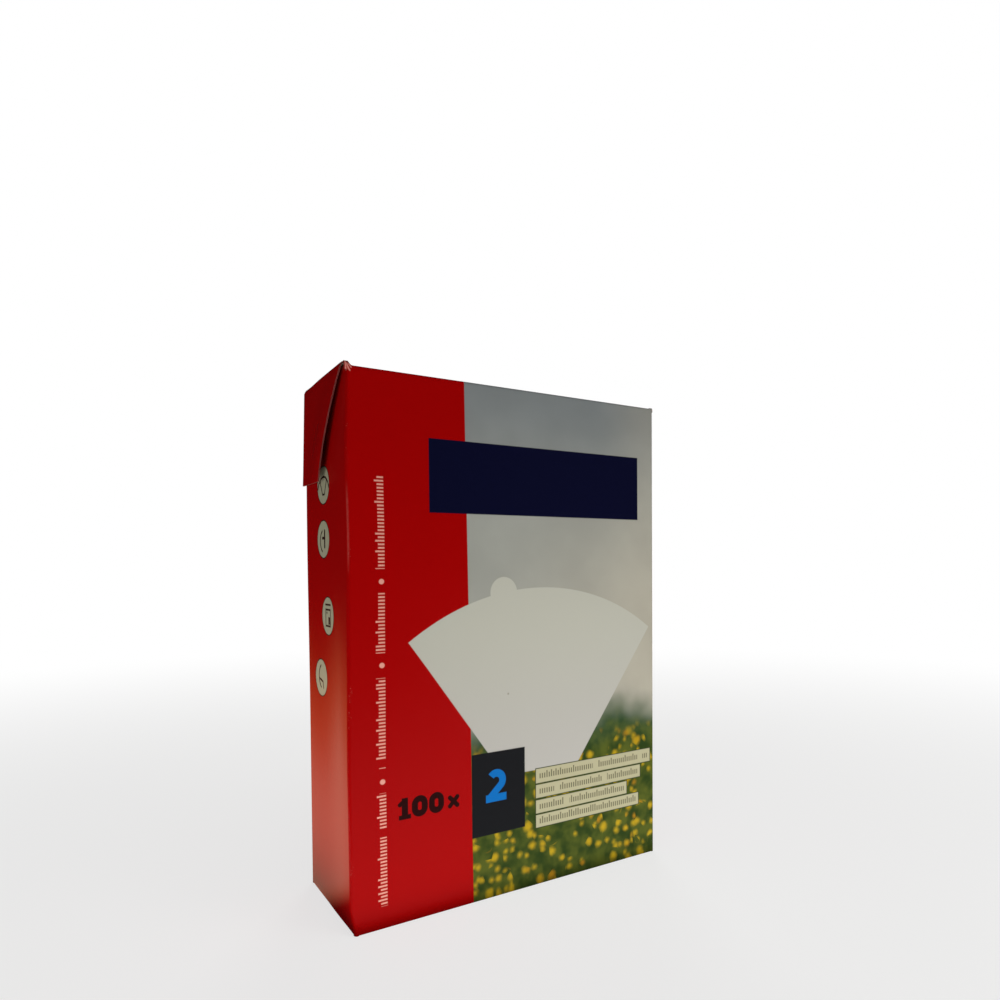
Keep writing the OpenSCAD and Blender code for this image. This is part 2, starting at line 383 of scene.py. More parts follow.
class Net:
    """Short ways to add nodes to one node tree. Values are numbers, colours or other nodes' outputs."""

    def __init__(self, tree):
        self.tree = tree

    def feed(self, node, values):
        """Links outputs to a node's inputs, or sets the inputs' own values, by name or place."""
        for name, value in values.items():
            socket = node.inputs[name]
            if isinstance(value, bpy.types.NodeSocket):
                self.tree.links.new(value, socket)
            elif socket.type == "RGBA" and len(value) == 3:
                socket.default_value = (*value, 1)
            else:
                socket.default_value = value

    def node(self, kind, inputs=(), **settings):
        """Adds a node with its settings and its inputs, named or in order, and gives its outputs."""
        node = self.tree.nodes.new(kind)
        for name, value in settings.items():
            setattr(node, name, value)
        self.feed(node, inputs if isinstance(inputs, dict) else dict(enumerate(inputs)))
        return node.outputs

    def group(self, tree, **inputs):
        return self.node("ShaderNodeGroup", inputs, node_tree=tree)

    def math(self, operation, *values, clamp=False):
        return self.node("ShaderNodeMath", values, operation=operation, use_clamp=clamp)[0]

    def plus(self, one, other):
        return self.math("ADD", one, other)

    def minus(self, one, other):
        return self.math("SUBTRACT", one, other)

    def times(self, *values):
        return reduce(lambda one, other: self.math("MULTIPLY", one, other), values)

    def vector(self, operation, *values):
        outputs = self.node("ShaderNodeVectorMath", values, operation=operation)
        return outputs[1 if operation in ("LENGTH", "DISTANCE", "DOT_PRODUCT") else 0]

    def scale(self, vector, factor):
        return self.node("ShaderNodeVectorMath", {0: vector, "Scale": factor}, operation="SCALE")[0]

    def split(self, vector):
        return self.node("ShaderNodeSeparateXYZ", (vector,))

    def blend(self, mask, below, above):
        """Colour above laid on colour below, as far as the mask covers."""
        inputs = {"Factor": mask, MIX_BELOW: below, MIX_ABOVE: above}
        return self.node("ShaderNodeMix", inputs, data_type="RGBA")[MIX_COLOR]

    def rise(self, value, low, high, to_low=0.0, to_high=1.0):
        """Smooth rise of a value from one level to another."""
        levels = (value, low, high, to_low, to_high)
        return self.node("ShaderNodeMapRange", levels, interpolation_type="SMOOTHSTEP")[0]

    def noise(self, vector, scale, detail, roughness=0.5):
        inputs = {"Vector": vector, "Scale": scale, "Detail": detail, "Roughness": roughness}
        return self.node("ShaderNodeTexNoise", inputs)[0]

    def wander(self, vector, noise, reach):
        """A value that wanders about zero."""
        return self.times(self.minus(self.noise(vector, *noise), 0.5), reach)

    # Shapes give the depth inside their edge in millimetres, negative outside.

    def rect(self, place, centre, half_size):
        """A rectangle, by its centre and half its width and height."""
        off = self.vector("SUBTRACT", place, (*centre, 0))
        x, y, _ = self.split(self.vector("SUBTRACT", (*half_size, 0), self.vector("ABSOLUTE", off)))
        return self.both(x, y)

    def disc(self, place, centre, radius):
        """A round disc."""
        return self.minus(radius, self.vector("DISTANCE", place, (*centre, 0)))

    def side_of(self, place, point, normal):
        """Everything on the side of a straight line that its normal points to."""
        return self.vector("DOT_PRODUCT", self.vector("SUBTRACT", place, (*point, 0)), (*normal, 0))

    def stroke(self, place, start, end, half_width):
        """A straight line with round ends."""
        run = Vector((end[0] - start[0], end[1] - start[1], 0))
        off = self.vector("SUBTRACT", place, (*start, 0))
        along = self.vector("DOT_PRODUCT", off, run)
        share = self.math("MULTIPLY", along, 1 / run.length_squared, clamp=True)
        return self.minus(half_width, self.vector("DISTANCE", off, self.scale(run, share)))

    def edge_line(self, depth, half_width):
        """A line along the edge of a shape."""
        return self.minus(half_width, self.math("ABSOLUTE", depth))

    def arc(self, place, centre, radius, half_width, point, normal):
        """The part of a round line that lies on one side of a straight line."""
        ring = self.edge_line(self.disc(place, centre, radius), half_width)
        return self.both(ring, self.side_of(place, point, normal))

    def frame(self, place, centre, half_size, half_width):
        """A line round a rectangle."""
        return self.edge_line(self.rect(place, centre, half_size), half_width)

    def loop(self, place, start, end, radius, half_width):
        """A line round a long round-ended shape."""
        return self.edge_line(self.stroke(place, start, end, radius), half_width)

    def both(self, *depths):
        """Where all shapes cover."""
        return reduce(lambda one, other: self.math("MINIMUM", one, other), depths)

    def any(self, *depths):
        """Where one shape or another covers."""
        return reduce(lambda one, other: self.math("MAXIMUM", one, other), depths)

    def drawing(self, place, shapes):
        """All shapes of a list that gives the kind and the measures of each."""
        return self.any(*(kind(self, place, *measures) for kind, *measures in shapes))

    def ink(self, depth):
        """Mask of a printed shape from its depth, with a soft edge."""
        return self.math("MULTIPLY_ADD", depth, 1 / PRINT_EDGE, 0.5, clamp=True)


def node_group(*outputs, **levels):
    """Makes a node group of the function below it.

    The function gets a net, the place on the unfolded sheet in millimetres and the given levels,
    and gives one value for each output.
    """

    def make(build):
        tree = bpy.data.node_groups.new(build.__name__, "ShaderNodeTree")
        tree.interface.new_socket(name="Place", in_out="INPUT", socket_type="NodeSocketVector")
        for name, level in levels.items():
            socket = tree.interface.new_socket(name=name, in_out="INPUT", socket_type="NodeSocketFloat")
            socket.default_value = level
        for name in outputs:
            kind = "NodeSocketColor" if name == "Color" else "NodeSocketFloat"
            tree.interface.new_socket(name=name, in_out="OUTPUT", socket_type=kind)
        net = Net(tree)
        given = tree.nodes.new("NodeGroupInput").outputs[: 1 + len(levels)]
        results = build(net, *given)
        net.feed(tree.nodes.new("NodeGroupOutput"), dict(enumerate(results)))
        return tree

    return make


def material(build):
    """Makes a material of the function below it, which gets a net and the Principled shader."""
    made = bpy.data.materials.new(build.__name__)
    made.use_nodes = True
    build(Net(made.node_tree), made.node_tree.nodes["Principled BSDF"])
    return made


def sheet_place(net):
    """Place on the unfolded sheet, in millimetres."""
    return net.scale(net.node("ShaderNodeUVMap", uv_map="sheet")[0], UV_UNIT)


def object_place(net):
    """Place on the piece, in millimetres."""
    return net.scale(net.node("ShaderNodeTexCoord")["Object"], 1 / MM)


# Colours of the print and the board, as they would be under plain white light
RED_INK = (0.33, 0.0006, 0.0008)
SKY_HIGH = (0.205, 0.222, 0.222)
SKY_MIDDLE = (0.315, 0.325, 0.292)
SKY_LOW = (0.405, 0.378, 0.305)
HEDGE_GREEN = (0.034, 0.075, 0.04)
GRASS_GREEN = (0.024, 0.045, 0.009)
GRASS_LIGHT = (0.08, 0.098, 0.014)
PETAL_YELLOW = (0.52, 0.335, 0.01)
PETAL_ORANGE = (0.45, 0.2, 0.008)
PAPER_INK = (0.46, 0.455, 0.385)
PAPER_LOW_INK = (0.415, 0.4, 0.365)
NAVY_INK = (0.0035, 0.004, 0.02)
BLACK_INK = (0.011, 0.0115, 0.013)
BLUE_INK = (0.003, 0.13, 0.42)
STRIP_INK = (0.4, 0.375, 0.235)
GREY_INK = (0.13, 0.12, 0.07)
LINE_INK = (0.03, 0.042, 0.014)
PINK_INK = (0.72, 0.32, 0.25)
DISC_INK = (0.36, 0.35, 0.24)
NUMERAL_INK = (0.022, 0.004, 0.004)
BOARD_GREY = (0.3, 0.26, 0.21)
# Dark red of the cut edge: the print's red in its fibres, darkened further as painted shade
BOARD_CORE_INK_AND_SHADE = (0.19, 0.031, 0.025)
# Pale pink of scuffs and cracks in the ink, and of a painted highlight along the front's left fold
SCUFF_AND_HIGHLIGHT_PINK = (0.74, 0.28, 0.23)
FILTER_WHITE = (0.74, 0.72, 0.66)

# Fields of the front, in millimetres from its middle and from the floor
PICTURE_LEFT = -19.4
PICTURE_LEFT_Z = 35.0
PICTURE_LEAN = 0.0113
PICTURE_WRAP = 2.0
FAN_APEX = (7.95, 18.9)
FAN_RADIUS = 83.0
FAN_HALF_ANGLE = math.radians(36)
FAN_FOOT_Z = 39.7
FAN_TAB_ANGLE = math.radians(10.3)
FAN_TAB_RADIUS = 5.1
BAND_CENTRE = (9.0, 137.5)
BAND_HALF = (42.5, 11.5)
SQUARE_CENTRE = (-9.25, 34.7)
SQUARE_HALF = (10.15, 13.6)

# The fan's paper darkens between two heights. A speck lies on it: centre, radius and mask.
FAN_SHADE = (95.0, 40.0)
SPECK = ((-5.5, 66.9), 0.4)
SPECK_MASK = (-0.2, 0.4, 0.0, 0.6)


@node_group("Mask")
def pictured_fan(net, place):
    """The pictured filter: a fan with a straight foot and a round tab."""
    slope = (math.cos(FAN_HALF_ANGLE), math.sin(FAN_HALF_ANGLE))
    tab = (
        FAN_APEX[0] - FAN_RADIUS * math.sin(FAN_TAB_ANGLE),
        FAN_APEX[1] + FAN_RADIUS * math.cos(FAN_TAB_ANGLE),
    )
    fan = net.both(
        net.disc(place, FAN_APEX, FAN_RADIUS),
        net.side_of(place, FAN_APEX, slope),
        net.side_of(place, FAN_APEX, (-slope[0], slope[1])),
        net.side_of(place, (0, FAN_FOOT_Z), (0, 1)),
    )
    return [net.ink(net.any(fan, net.disc(place, tab, FAN_TAB_RADIUS)))]


# The figure on the black square: its arch faces up to the right, and its slanted stroke ends on the foot
TWO_CENTRE = (-10.3, 38.7)
TWO_RADIUS = 2.45
TWO_FACING = (0.64, 0.77)
TWO_HALF_STROKE = 1.25
TWO_SLANT_END = (-12.9, 33.0)
TWO_FOOT = (-10.3, 33.0)
TWO_HALF_W = 3.9


@node_group("Mask")
def figure_two(net, place):
    """A plain figure 2: an arched top, a slanted stroke and a foot."""
    x, z = TWO_CENTRE
    turn = (x + TWO_RADIUS * TWO_FACING[1], z - TWO_RADIUS * TWO_FACING[0])
    figure = net.any(
        net.arc(place, TWO_CENTRE, TWO_RADIUS, TWO_HALF_STROKE, TWO_CENTRE, TWO_FACING),
        net.stroke(place, turn, TWO_SLANT_END, TWO_HALF_STROKE),
        net.rect(place, TWO_FOOT, (TWO_HALF_W, TWO_HALF_STROKE)),
    )
    above = net.side_of(place, (x, TWO_FOOT[1] - TWO_HALF_STROKE), (0, 1))
    return [net.ink(net.both(figure, above))]


# The count on the red field, by kinds of shape and their measures: a one with its flag and foot, two
# noughts and a cross
COUNT_SHAPES = (
    (Net.rect, (-42.4, 35.3), (1.0, 3.3)),
    (Net.stroke, (-42.4, 37.8), (-43.9, 36.7), 0.7),
    (Net.rect, (-42.4, 32.7), (1.9, 0.7)),
    (Net.loop, (-37.6, 34.6), (-37.6, 36.0), 1.6, 1.0),
    (Net.loop, (-32.0, 34.6), (-32.0, 36.0), 1.6, 1.0),
    (Net.stroke, (-27.3, 33.25), (-24.7, 35.95), 0.75),
    (Net.stroke, (-27.3, 35.95), (-24.7, 33.25), 0.75),
)


@node_group("Mask")
def count(net, place):
    """Plain figures 100 and a cross."""
    return [net.ink(net.drawing(place, COUNT_SHAPES))]


# The pale strips: their left end, the dark line round them, and the right end, foot and top of each
STRIP_LEFT = 5.4
STRIP_LINE = 0.3
STRIPS = ((57.2, 35.0, 39.9), (52.3, 29.9, 34.4), (45.7, 24.6, 29.1), (51.4, 19.7, 24.0))


def strip_depth(net, place, strip, inset=0.0):
    """One pale strip as a shape, with its ends drawn in by the inset."""
    right, low, high = strip
    centre = ((STRIP_LEFT + right) / 2, (low + high) / 2)
    return net.rect(place, centre, ((right - STRIP_LEFT) / 2 - inset, (high - low) / 2))


def all_strips(net, place):
    """The four pale strips as one shape."""
    return net.any(*(strip_depth(net, place, strip) for strip in STRIPS))


@node_group("Mask")
def pale_strips(net, place):
    """The four pale strips."""
    return [net.ink(all_strips(net, place))]


@node_group("Mask")
def strip_lines(net, place):
    """The strips with the thin dark line round them."""
    return [net.ink(net.plus(all_strips(net, place), STRIP_LINE))]


# From here on a noise is given by its scale, detail and roughness, and a span by the two levels between
# which a mask rises, and by the values between which it rises where these aren't 0 and 1.

# Rows of strokes: half a stroke's width as a share of the pitch, half the height of a low one and what a
# tall one has more as shares of the row's height, and the share of low ones
STROKE_HALF = 0.24
STROKE_LOW_HALF = 0.34
STROKE_TALL_MORE = 0.14
STROKE_LOW_SHARE = 0.7

# The gaps between runs of strokes
RUN_NOISE = (0.19, 0.0)
RUN_SPAN = (0.33, 0.36)

# Rows on the strips: pitch, height, drop below the strip's middle, inset, and where its pattern starts
BARS_PITCH = 0.95
BARS_HEIGHT = 2.5
BARS_DROP = 0.1
BARS_INSET = 1.3
BARS_SEED = 3.0
BARS_SEED_STEP = 17.0

# The upright row at the left: its middle, pitch, height and pattern, the ends of its runs, and its dots
UPRIGHT_X = -49.1
UPRIGHT_PITCH = 1.05
UPRIGHT_HEIGHT = 2.9
UPRIGHT_SEED = 5.0
UPRIGHT_RUNS = ((7.0, 41.3), (48.8, 76.0), (83.5, 101.5), (108.7, 136.3))
UPRIGHT_DOTS = (44.7, 79.8, 104.9)
UPRIGHT_DOT_R = 0.8


def stroke_row(net, along, across, pitch, height, seed):
    """A row of thin strokes of uneven height, in runs of uneven length."""
    phase = net.math("DIVIDE", along, pitch)
    number = net.plus(net.math("FLOOR", phase), seed)
    lot = net.node("ShaderNodeTexWhiteNoise", {"W": number}, noise_dimensions="1D")[0]
    off = net.math("ABSOLUTE", net.minus(net.math("FRACT", phase), 0.5))
    upright = net.minus(pitch * STROKE_HALF, net.times(off, pitch))
    tall = net.math("GREATER_THAN", lot, STROKE_LOW_SHARE)
    half = net.math("MULTIPLY_ADD", tall, height * STROKE_TALL_MORE, height * STROKE_LOW_HALF)
    off_row = net.math("ABSOLUTE", net.minus(across, net.times(tall, height * STROKE_TALL_MORE)))
    strokes = net.ink(net.both(upright, net.minus(half, off_row)))
    start = net.node("ShaderNodeCombineXYZ", (net.plus(along, seed),))[0]
    return net.times(strokes, net.rise(net.noise(start, *RUN_NOISE), *RUN_SPAN))


@node_group("Mask")
def strip_bars(net, place):
    """Rows of short strokes on the pale strips."""
    x, z, _ = net.split(place)
    rows = []
    for number, strip in enumerate(STRIPS):
        across = net.minus(z, (strip[1] + strip[2]) / 2 - BARS_DROP)
        seed = BARS_SEED + BARS_SEED_STEP * number
        row = stroke_row(net, x, across, BARS_PITCH, BARS_HEIGHT, seed)
        rows.append(net.times(row, net.ink(strip_depth(net, place, strip, BARS_INSET))))
    return [net.any(*rows)]


@node_group("Mask")
def upright_bars(net, place):
    """Four upright rows of short strokes with dots between them."""
    x, z, _ = net.split(place)
    runs = []
    for low, high in UPRIGHT_RUNS:
        centre = (UPRIGHT_X, (low + high) / 2)
        runs.append(net.rect(place, centre, (UPRIGHT_HEIGHT, (high - low) / 2)))
    dots = [net.disc(place, (UPRIGHT_X, height), UPRIGHT_DOT_R) for height in UPRIGHT_DOTS]
    row = stroke_row(net, z, net.minus(UPRIGHT_X, x), UPRIGHT_PITCH, UPRIGHT_HEIGHT, UPRIGHT_SEED)
    return [net.any(net.times(row, net.ink(net.any(*runs))), net.ink(net.any(*dots)))]


@node_group("Mask")
def plain_band(net, place):
    """A plain straight band."""
    return [net.ink(net.rect(place, BAND_CENTRE, BAND_HALF))]


# The sky: the heights between which it pales and warms, how warm it is at the left, a glow at the right,
# and its clouds
SKY_SPAN = (168.0, 120.0)
WARM_SPAN = (160.0, 78.0)
WARM_AT_LEFT = 0.25
GLOW_SPAN = (30.0, 60.0, 0.0, 0.4)
CLOUD_NOISE = (0.03, 3.0)
CLOUD_SPAN = (0.35, 0.7, 0.94, 1.06)

# The field: its tufts, and the heights of its hedge and of its upper edge, which both wander
TUFT_NOISE = (0.16, 2.0)
TUFT_SPAN = (0.3, 0.7)
GROUND_NOISE = (0.06, 2.0)
GROUND_WANDER = 16.0
HEDGE_SPAN = (40.0, 62.0)
HORIZON_SPAN = (64.0, 49.0)

# Layers of out-of-focus dots: spacing, radius, share of places taken, offset of the pattern
FLOWER_LAYERS = ((5.6, 1.4, 0.5, 0.0), (4.2, 1.05, 0.4, 31.0), (2.9, 0.7, 0.35, 74.0))

# The dots: how scattered they are, their least size and its spread as shares of the radius, the noise
# and reach that make their edge ragged, their soft edge, where they crowd, the heights where they begin,
# which are orange, and how far they cover the grass
FLOWER_SCATTER = 0.85
FLOWER_SMALLEST = 0.7
FLOWER_SPREAD = 0.6
FLOWER_RAGGED = ((0.5, 1.0), 1.2)
FLOWER_SOFT_SPAN = (-0.9, 1.2)
CROWD_NOISE = (0.075, 1.0)
CROWD_SPAN = (0.38, 0.58, 0.35, 1.0)
FLOWER_SPAN = (53.0, 43.0)
ORANGE_SPAN = (0.75, 1.0)
FLOWER_COVER = 0.78


@node_group("Color")
def meadow(net, place):
    """Soft green field with out-of-focus yellow dots, under a pale sky."""
    x, z, _ = net.split(place)
    sky = net.blend(net.rise(z, *SKY_SPAN), SKY_HIGH, SKY_MIDDLE)
    across = net.math("MULTIPLY_ADD", net.rise(x, PICTURE_LEFT, HALF_W), 1 - WARM_AT_LEFT, WARM_AT_LEFT)
    sky = net.blend(net.times(net.rise(z, *WARM_SPAN), across), sky, SKY_LOW)
    sky = net.blend(net.rise(x, *GLOW_SPAN), sky, SKY_LOW)
    sky = net.scale(sky, net.rise(net.noise(place, *CLOUD_NOISE), *CLOUD_SPAN))
    height = net.plus(z, net.wander(place, GROUND_NOISE, GROUND_WANDER))
    grass = net.blend(net.rise(net.noise(place, *TUFT_NOISE), *TUFT_SPAN), GRASS_GREEN, GRASS_LIGHT)
    grass = net.blend(net.rise(height, *HEDGE_SPAN), grass, HEDGE_GREEN)
    color = net.blend(net.rise(height, *HORIZON_SPAN), sky, grass)
    crowd = net.rise(net.noise(place, *CROWD_NOISE), *CROWD_SPAN)
    near = net.rise(z, *FLOWER_SPAN)
    ragged = net.wander(place, *FLOWER_RAGGED)
    for pitch, radius, share, spread in FLOWER_LAYERS:
        shifted = net.vector("ADD", place, (spread, spread, 0))
        inputs = {"Vector": shifted, "Scale": 1 / pitch, "Randomness": FLOWER_SCATTER}
        cell = net.node("ShaderNodeTexVoronoi", inputs, voronoi_dimensions="2D")
        lot, size_lot, tone_lot = net.split(cell["Color"])
        size = net.math("MULTIPLY_ADD", size_lot, radius * FLOWER_SPREAD, radius * FLOWER_SMALLEST)
        depth = net.plus(net.minus(size, net.times(cell["Distance"], pitch)), ragged)
        kept = net.math("LESS_THAN", lot, net.times(crowd, share))
        mask = net.times(net.rise(depth, *FLOWER_SOFT_SPAN), kept, near, FLOWER_COVER)
        petals = net.blend(net.rise(tone_lot, *ORANGE_SPAN), PETAL_YELLOW, PETAL_ORANGE)
        color = net.blend(mask, color, petals)
    return [color]


# Cracks in the ink at the front's upper corner: their ends, half their width and their soft edge
SCUFFS = (
    ((-59.6, 168.0), (-59.5, 166.6)),
    ((-59.2, 167.6), (-58.3, 166.4)),
    ((-58.7, 167.9), (-57.9, 167.3)),
)
SCUFF_HALF_W = 0.27
SCUFF_SOFT = 0.1

# A pale line along the fold at the front's left, partly rubbed ink and partly a painted highlight of the
# fold: its ends, half its width, its soft edge, its strength, the length over which it fades, and the span
# in which a noise breaks it up
RUB_HIGHLIGHT_LINE = ((-59.1, 106.0), (-59.1, 136.0))
RUB_HIGHLIGHT_HALF_W = 0.38
RUB_HIGHLIGHT_SOFT = 0.2
RUB_HIGHLIGHT_STRENGTH = 0.15
RUB_HIGHLIGHT_FADE = 9.0
RUB_HIGHLIGHT_SPAN = (0.3, 0.6, 0.5, 1.0)

# Cracks where the board is worn: their noise, the patches in which there are more of them, and how far
# the noise has to rise for a crack to begin and to be open
CRACK_NOISE = (1.4, 4.0, 0.7)
PATCH_NOISE = (0.09, 2.0)
PATCH_SPAN = (0.35, 0.75, 0.25, 1.0)
CRACK_BEGINS = 0.85
CRACK_OPEN = 0.12
WORN_SPAN = (0.0, 0.1)


@node_group("Mask", Worn=0.0)
def fold_wear_and_highlight(net, place, worn):
    """Broken mask of ink that has cracked off along a fold or a corner, with scuffs, and a pale line along
    the front's left fold that is partly rubbed ink and partly a painted highlight.
    """
    fine = net.noise(place, *CRACK_NOISE)
    patches = net.rise(net.noise(place, *PATCH_NOISE), *PATCH_SPAN)
    limit = net.minus(1.0, net.times(worn, patches))
    cracked = net.rise(fine, net.times(limit, CRACK_BEGINS), net.plus(limit, CRACK_OPEN))
    cracked = net.times(cracked, net.rise(worn, *WORN_SPAN))
    strokes = net.any(*(net.stroke(place, start, end, SCUFF_HALF_W) for start, end in SCUFFS))
    scuffed = net.rise(strokes, -SCUFF_SOFT, SCUFF_HALF_W)
    # The pale line along the front's left fold: a painted highlight of the fold, with rubbed ink
    line = net.stroke(place, *RUB_HIGHLIGHT_LINE, RUB_HIGHLIGHT_HALF_W)
    height = net.split(place)[1]
    low, high = RUB_HIGHLIGHT_LINE[0][1], RUB_HIGHLIGHT_LINE[1][1]
    rub_and_highlight = net.times(
        net.rise(line, -RUB_HIGHLIGHT_SOFT, RUB_HIGHLIGHT_HALF_W, 0.0, RUB_HIGHLIGHT_STRENGTH),
        net.rise(height, low, low + RUB_HIGHLIGHT_FADE),
        net.rise(height, high, high - RUB_HIGHLIGHT_FADE),
        net.rise(fine, *RUB_HIGHLIGHT_SPAN),
    )
    return [net.any(cracked, scuffed, rub_and_highlight)]


# The varnish: its roughness, how far the board's fibres spread it, what wear adds to it, the stretch and
# noise of the fibres, the height and noise of slow waves, and a relief as a strength and a distance
VARNISH_ROUGHNESS = 0.27
VARNISH_SPREAD = 0.004
WORN_ROUGHNESS = 0.4
VARNISH_STRETCH = (0.35, 1.0, 1.0)
VARNISH_NOISE = (0.9, 3.0, 0.6)
VARNISH_WAVES = 0.25
WAVE_NOISE = (0.045, 2.0)
VARNISH_RELIEF = (0.2, 0.001)

# Its strength of reflection, and that on the front
VARNISH_LEVEL = 0.2
FRONT_LEVEL = 0.05


@node_group("Roughness", "Height", Roughness=VARNISH_ROUGHNESS, Waves=VARNISH_WAVES)
def varnished_board(net, place, roughness, waves):
    """Fine unevenness of the varnished board: its roughness and its height."""
    stretched = net.vector("MULTIPLY", place, VARNISH_STRETCH)
    rough = net.plus(net.wander(stretched, VARNISH_NOISE, VARNISH_SPREAD), roughness)
    return [rough, net.times(net.noise(place, *WAVE_NOISE), waves)]


def add_relief(net, shader, height, strength, distance):
    """Gives a surface a fine relief."""
    inputs = {"Strength": strength, "Distance": distance, "Height": height}
    net.feed(shader, {"Normal": net.node("ShaderNodeBump", inputs)[0]})


def add_varnish(net, shader, place, color, level=VARNISH_LEVEL):
    """Varnished print on board: worn folds, a painted highlight along the front's left fold, uneven gloss
    and fine relief.
    """
    worn = net.node("ShaderNodeAttribute", attribute_name="worn")["Fac"]
    mask = net.group(fold_wear_and_highlight, Place=place, Worn=worn)[0]
    board = net.group(
        varnished_board, Place=place, Roughness=VARNISH_ROUGHNESS, Waves=VARNISH_WAVES
    )
    rough = net.math("MULTIPLY_ADD", mask, WORN_ROUGHNESS, board["Roughness"])
    # Scuffs and cracks, and a painted highlight along the front's left fold, in pale pink
    color = net.blend(mask, color, SCUFF_AND_HIGHLIGHT_PINK)
    net.feed(shader, {"Base Color": color, "Roughness": rough, "Specular IOR Level": level})
    add_relief(net, shader, board["Height"], *VARNISH_RELIEF)


@material
def front_print(net, shader):
    """The printed front: red field, picture, pale fan, band, square, figures and strips."""
    place = sheet_place(net)
    x, z, _ = net.split(place)

    def printed(group):
        return net.group(group, Place=place)[0]

    right_of_edge = net.ink(net.side_of(place, (PICTURE_LEFT, PICTURE_LEFT_Z), (1, PICTURE_LEAN)))
    before_wrap = net.ink(net.minus(FRONT_END + PICTURE_WRAP, x))
    paper = net.blend(net.rise(z, *FAN_SHADE), PAPER_INK, PAPER_LOW_INK)
    color = RED_INK
    for mask, ink in (
        (net.times(right_of_edge, before_wrap), printed(meadow)),
        (printed(plain_band), NAVY_INK),
        (printed(pictured_fan), paper),
        (printed(strip_lines), LINE_INK),
        (printed(pale_strips), STRIP_INK),
        (printed(strip_bars), GREY_INK),
        (net.rise(net.disc(place, *SPECK), *SPECK_MASK), GREY_INK),
        (net.ink(net.rect(place, SQUARE_CENTRE, SQUARE_HALF)), BLACK_INK),
        (printed(figure_two), BLUE_INK),
        (printed(count), NUMERAL_INK),
        (printed(upright_bars), PINK_INK),
    ):
        color = net.blend(mask, color, ink)
    add_varnish(net, shader, place, color, FRONT_LEVEL)


# Pale discs on the left panel: radius, dark line, and how far each lies behind the front and its height
DISC_RADIUS = 5.9
DISC_LINE = 0.35
SIDE_DISCS = ((24.3, 135.6), (24.9, 118.3), (21.1, 93.8), (29.0, 73.2))

# The plain sign on each disc, measured from the disc's centre
SIGNS = (
    (
        (Net.arc, (0, -3.6), 6.2, 0.35, (0, -1.4), (0, 1)),
        (Net.stroke, (-1.0, -3.0), (-3.4, 1.6), 0.3),
        (Net.stroke, (1.0, -3.0), (3.4, 1.6), 0.3),
        (Net.stroke, (-1.0, -3.0), (1.0, -3.0), 0.3),
    ),
    (
        (Net.stroke, (1.2, 2.6), (1.2, -2.4), 0.6),
        (Net.stroke, (-1.0, 0.4), (1.2, 0.4), 0.45),
        (Net.arc, (0.4, -0.6), 3.6, 0.3, (-1.0, 0), (-1, 0)),
    ),
    (
        (Net.frame, (0, -0.6), (2.4, 2.6), 0.3),
        (Net.rect, (1.1, -1.5), (0.8, 1.2)),
        (Net.rect, (0, 3.6), (2.9, 0.3)),
        (Net.disc, (-1.1, 1.0), 0.4),
    ),
    (
        (Net.arc, (1.6, 0.4), 4.0, 0.3, (0, 0), (-1, 0)),
        (Net.stroke, (-2.0, -0.4), (1.6, -1.2), 0.35),
        (Net.stroke, (1.6, -1.2), (2.2, -3.2), 0.3),
    ),
)


@material
def side_print(net, shader):
    """The left panel: red, with four pale discs that hold small plain signs."""
    place = sheet_place(net)
    color = RED_INK
    for (behind, z), sign in zip(SIDE_DISCS, SIGNS):
        centre = (LEFT_START - (behind - FOLD_R), z)
        disc = net.disc(place, centre, DISC_RADIUS)
        drawing = net.drawing(net.vector("SUBTRACT", place, (*centre, 0)), sign)
        for depth, ink in (
            (net.plus(disc, DISC_LINE), NUMERAL_INK),
            (disc, DISC_INK),
            (drawing, NUMERAL_INK),
        ):
            color = net.blend(net.ink(depth), color, ink)
    add_varnish(net, shader, place, color)


@material
def plain_print(net, shader):
    """Plain red varnished print."""
    add_varnish(net, shader, sheet_place(net), RED_INK)


# How a fibrous colour goes from its dark to its pale shade
SHADE_SPAN = (0.3, 0.7)

# The bare board: stretch and noise of its fibres, their dark and pale shade, its specks, their shade,
# its roughness, and its relief as a strength and a distance
BARE_STRETCH = (0.3, 1.4, 1.0)
BARE_NOISE = (1.1, 4.0, 0.65)
BARE_SHADES = (0.86, 1.12)
BARE_SPECK_NOISE = (0.9, 1.0)
BARE_SPECK_SPAN = (0.7, 0.76, 0.0, 0.5)
BARE_SPECK_SHADE = 0.55
BARE_ROUGHNESS = 0.85
BARE_RELIEF = (0.4, 0.0002)

# The cut edge of the board, in the same way
CUT_NOISE = (2.2, 3.0, 0.6)
CUT_SHADES = (0.7, 1.2)
CUT_ROUGHNESS = 0.9

# The filter paper, in the same way, with clouds in its white and a soft sheen
CREPE_STRETCH = (0.5, 1.0, 2.4)
CREPE_NOISE = (1.3, 4.0, 0.6)
CREPE_CLOUDS = (0.08, 2.0)
CREPE_SHADES = (0.94, 1.04)
CREPE_ROUGHNESS = 0.92
CREPE_SHEEN = 0.15
CREPE_RELIEF = (0.5, 0.0003)


def shade(color, factor):
    """A darker or paler shade of a colour."""
    return tuple(part * factor for part in color)


def shaded(net, pattern, color, dark, pale):
    """A colour that goes from a dark to a pale shade after a pattern."""
    return net.blend(net.rise(pattern, *SHADE_SPAN), shade(color, dark), shade(color, pale))


@material
def bare_board(net, shader):
    """The grey inside of the board, with short fibres and specks."""
    place = sheet_place(net)
    fibres = net.noise(net.vector("MULTIPLY", place, BARE_STRETCH), *BARE_NOISE)
    specks = net.rise(net.noise(place, *BARE_SPECK_NOISE), *BARE_SPECK_SPAN)
    color = shaded(net, fibres, BOARD_GREY, *BARE_SHADES)
    color = net.blend(specks, color, shade(BOARD_GREY, BARE_SPECK_SHADE))
    net.feed(shader, {"Base Color": color, "Roughness": BARE_ROUGHNESS})
    add_relief(net, shader, fibres, *BARE_RELIEF)


